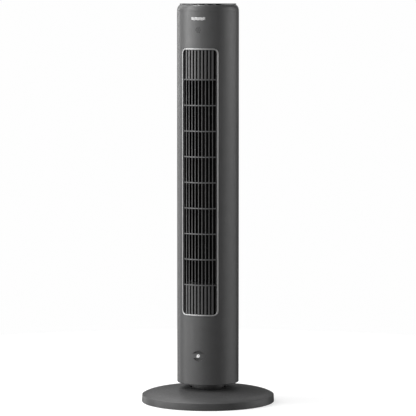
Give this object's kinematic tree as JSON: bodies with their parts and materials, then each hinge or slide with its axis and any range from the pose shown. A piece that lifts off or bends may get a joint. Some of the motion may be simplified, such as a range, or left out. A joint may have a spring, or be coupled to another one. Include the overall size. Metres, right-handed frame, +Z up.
{
  "type": "tower fan",
  "caption": "Slim round tower fan that swings on a domed disc base, with a barred front outlet, rear inlet, carry recess, top keys and a scent drawer.",
  "frame": {"origin": "centre of the base, on the floor under its feet", "axes": "+Z up, the air outlet faces -Y, +X to the right of someone standing in front of the fan and facing it"},
  "size_m": [0.3534, 0.3534, 1.06],
  "materials": {
    "shell_plastic": "fine satin grain, dark grey",
    "base_plastic": "fine satin grain, dark grey",
    "grille_plastic": "satin, dark grey",
    "silver_trim": "satin silver plating",
    "gloss_black": "high gloss black",
    "display_lens": "high gloss, smoked",
    "black_plastic": "matt black",
    "white_plastic": "natural white, low friction",
    "steel": "ground",
    "zinc_steel": "bright zinc plate",
    "copper": "enamelled winding wire",
    "rubber": "matt",
    "circuit_board": "solder resist",
    "felt": "pressed felt",
    "badge_print": "satin print"
  },
  "bodies": {
    "base": {"base_cover": "base_plastic", "base_plate": "black_plastic", "counterweight": "steel", "neck_collar": "base_plastic", "fixed_gear": "white_plastic", "slide_ring": "black_plastic", "cord_gland": "rubber", "foot_1": "rubber", "foot_2": "rubber", "foot_3": "rubber", "foot_4": "rubber", "foot_5": "rubber", "base_screw_1": "zinc_steel", "base_screw_2": "zinc_steel", "base_screw_3": "zinc_steel"},
    "column": {"bottom_plate": "shell_plastic", "spindle": "steel", "retaining_ring": "zinc_steel", "front_shell": "shell_plastic", "rear_shell": "shell_plastic", "inlet_grille": "grille_plastic", "handle_cup": "black_plastic", "top_housing": "shell_plastic", "control_panel": "gloss_black", "display_lens": "display_lens", "control_board": "circuit_board", "sensor_block": "black_plastic", "badge": "badge_print", "trim_frame": "silver_trim", "outlet_grille": "grille_plastic", "upper_duct_end": "grille_plastic", "lower_duct_end": "grille_plastic", "scroll_wall": "black_plastic", "tongue": "black_plastic", "motor_can": "zinc_steel", "motor_end_cap": "zinc_steel", "stator": "copper", "motor_bracket": "black_plastic", "bearing_bracket": "black_plastic", "upper_bearing": "steel", "swing_motor": "zinc_steel", "power_board": "circuit_board", "wiring_loom": "rubber", "scent_housing": "black_plastic", "shell_screw_1": "zinc_steel", "shell_screw_2": "zinc_steel", "shell_screw_3": "zinc_steel", "shell_screw_4": "zinc_steel"},
    "impeller": {"impeller": "black_plastic", "impeller_shaft": "steel", "rotor": "steel"},
    "pinion": {"swing_pinion": "white_plastic"},
    "scent_drawer": {"scent_cap": "shell_plastic", "scent_tray": "white_plastic", "scent_pad": "felt"},
    "timer_key": {"timer_key": "gloss_black"},
    "swing_key": {"swing_key": "gloss_black"},
    "power_key": {"power_key": "gloss_black"},
    "speed_key": {"speed_key": "gloss_black"},
    "mode_key": {"mode_key": "gloss_black"}
  },
  "joints": [
    {"name": "swing", "type": "hinge", "parent": "base", "child": "column", "pos_m": [0, 0, 0.055], "axis": [0, 0, 1], "range_deg": [-45, 45]},
    {"name": "pinion_spin", "type": "hinge", "parent": "column", "child": "pinion", "pos_m": [-0.024, 0, 0.04], "axis": [0, 0, 1], "range_deg": [-136, 136]},
    {"name": "fan_spin", "type": "hinge", "parent": "column", "child": "impeller", "pos_m": [0, 0.006, 0.591], "axis": [0, 0, 1], "continuous": true},
    {"name": "drawer_slide", "type": "slide", "parent": "column", "child": "scent_drawer", "axis": [0, -1, 0], "range_m": [0, 0.025]},
    {"name": "timer_key_press", "type": "slide", "parent": "column", "child": "timer_key", "axis": [0, 0, -1], "range_m": [0, 0.0008], "stiffness_N_per_m": 1500},
    {"name": "swing_key_press", "type": "slide", "parent": "column", "child": "swing_key", "axis": [0, 0, -1], "range_m": [0, 0.0008], "stiffness_N_per_m": 1500},
    {"name": "power_key_press", "type": "slide", "parent": "column", "child": "power_key", "axis": [0, 0, -1], "range_m": [0, 0.0008], "stiffness_N_per_m": 1500},
    {"name": "speed_key_press", "type": "slide", "parent": "column", "child": "speed_key", "axis": [0, 0, -1], "range_m": [0, 0.0008], "stiffness_N_per_m": 1500},
    {"name": "mode_key_press", "type": "slide", "parent": "column", "child": "mode_key", "axis": [0, 0, -1], "range_m": [0, 0.0008], "stiffness_N_per_m": 1500}
  ],
  "couplings": [
    {"joint": "pinion_spin", "follows": "swing", "ratio": 3}
  ]
}
